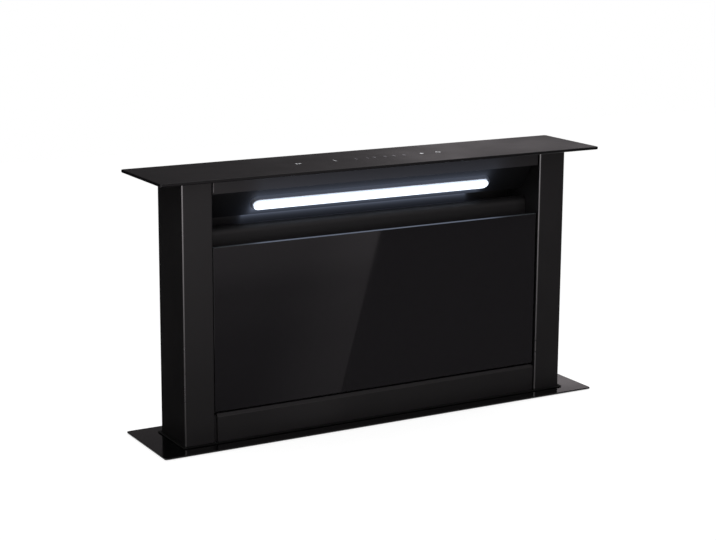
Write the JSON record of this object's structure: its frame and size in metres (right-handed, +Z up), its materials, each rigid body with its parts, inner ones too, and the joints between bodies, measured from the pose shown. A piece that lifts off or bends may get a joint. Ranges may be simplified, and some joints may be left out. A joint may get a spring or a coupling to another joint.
{
  "type": "downdraft vent",
  "caption": "Pop-up kitchen downdraft vent: a lit glass-fronted extraction column that rises from a worktop flange, over a hanging chassis with screw lift and centrifugal blower.",
  "frame": {"origin": "middle of the worktop cut-out, level with the top of the worktop", "axes": "+X to the right along the worktop, +Y to the back, +Z up; the cook stands on the -Y side"},
  "size_m": [0.6, 0.3053, 0.979],
  "materials": {
    "black_painted_steel": "semi-matt black powder coat on folded steel sheet",
    "black_glass": "high-gloss black tempered glass, opaque",
    "satin_black_glass": "satin black glass top, opaque",
    "gloss_black_steel": "gloss black lacquer on the worktop flange",
    "galvanised_steel": "galvanised sheet, faint spangle",
    "anodised_aluminium": "plain anodised aluminium",
    "bright_steel": "bright drawn steel",
    "black_rubber": "matt black rubber and foam",
    "dark_plastic": "moulded dark grey plastic, fine texture",
    "pale_plastic": "natural moulded acetal",
    "opal_diffuser": "opal diffuser, lit cool white",
    "circuit_board": "green solder mask",
    "brass": "machined brass"
  },
  "bodies": {
    "chassis": {"worktop_flange": "gloss_black_steel", "flange_gasket": "black_rubber", "column_seal": "black_rubber", "chassis_front": "galvanised_steel", "chassis_rear": "galvanised_steel", "chassis_side_left": "galvanised_steel", "chassis_side_right": "galvanised_steel", "base_cover": "galvanised_steel", "drive_deck": "galvanised_steel", "sync_belt": "black_rubber", "spindle_bearing_left": "dark_plastic", "spindle_bearing_right": "dark_plastic", "lift_motor": "galvanised_steel", "guide_rail_left": "bright_steel", "guide_rail_right": "bright_steel", "scroll_casing": "galvanised_steel", "scroll_cover": "galvanised_steel", "inlet_cone": "galvanised_steel", "fan_motor": "galvanised_steel", "outlet_adapter": "galvanised_steel", "duct_collar": "pale_plastic", "control_box": "dark_plastic", "control_lid": "dark_plastic", "cable_gland": "dark_plastic", "cabinet_bracket_left": "galvanised_steel", "cabinet_bracket_right": "galvanised_steel"},
    "column": {"pilaster_left": "black_painted_steel", "pilaster_right": "black_painted_steel", "rear_panel": "black_painted_steel", "front_liner": "black_painted_steel", "lower_band": "black_painted_steel", "foot_frame": "black_painted_steel", "lift_nut_left": "brass", "lift_nut_right": "brass", "glide_shoe_left": "pale_plastic", "glide_shoe_right": "pale_plastic", "top_plate": "satin_black_glass", "cap_tray": "black_painted_steel", "touch_board": "circuit_board", "board_housing": "dark_plastic", "header_strip": "black_painted_steel", "lamp_baffle": "black_painted_steel", "lamp_housing": "anodised_aluminium", "lamp_diffuser": "opal_diffuser", "filter_rail": "black_painted_steel", "filter_frame": "anodised_aluminium", "filter_core": "anodised_aluminium", "filter_rack_left": "black_painted_steel", "filter_rack_right": "black_painted_steel", "magnetic_catch": "dark_plastic"},
    "glass_front": {"glass_panel": "black_glass", "glass_carrier": "black_painted_steel"},
    "left_spindle": {"spindle_left": "bright_steel", "spindle_gear": "pale_plastic"},
    "right_spindle": {"spindle_right": "bright_steel", "spindle_pulley": "pale_plastic"},
    "pinion": {"motor_pinion": "pale_plastic"},
    "fan_wheel": {"impeller": "dark_plastic"},
    "rear_flap": {"flap_rear": "pale_plastic"},
    "front_flap": {"flap_front": "pale_plastic"}
  },
  "joints": [
    {"name": "lift", "type": "slide", "parent": "chassis", "child": "column", "axis": [0, 0, 1], "range_m": [-0.311, 0]},
    {"name": "left_spindle_turn", "type": "hinge", "parent": "chassis", "child": "left_spindle", "pos_m": [-0.2455, 0, -0.4], "axis": [0, 0, 1], "range_deg": [-14010, 10]},
    {"name": "right_spindle_turn", "type": "hinge", "parent": "chassis", "child": "right_spindle", "pos_m": [0.2455, 0, -0.4], "axis": [0, 0, 1], "range_deg": [-14010, 10]},
    {"name": "pinion_turn", "type": "hinge", "parent": "chassis", "child": "pinion", "pos_m": [-0.2035, 0, -0.6365], "axis": [0, 0, 1], "range_deg": [-20, 28020]},
    {"name": "fan_turn", "type": "hinge", "parent": "chassis", "child": "fan_wheel", "pos_m": [-0.07, -0.11, -0.51], "axis": [0, 1, 0], "continuous": true},
    {"name": "rear_flap_swing", "type": "hinge", "parent": "chassis", "child": "rear_flap", "pos_m": [0.152, -0.1295, -0.3683], "axis": [0, 0, -1], "range_deg": [0, 78], "stiffness_Nm_per_rad": 0.01},
    {"name": "front_flap_swing", "type": "hinge", "parent": "chassis", "child": "front_flap", "pos_m": [0.152, -0.1375, -0.3683], "axis": [0, 0, 1], "range_deg": [0, 78], "stiffness_Nm_per_rad": 0.01},
    {"name": "glass_tilt", "type": "hinge", "parent": "column", "child": "glass_front", "pos_m": [0, -0.0255, 0.041], "axis": [1, 0, 0], "range_deg": [0, 20]}
  ],
  "couplings": [
    {"joint": "left_spindle_turn", "follows": "lift", "rad_per_m": 785.4},
    {"joint": "right_spindle_turn", "follows": "lift", "rad_per_m": 785.4},
    {"joint": "pinion_turn", "follows": "lift", "rad_per_m": -1570.8}
  ]
}
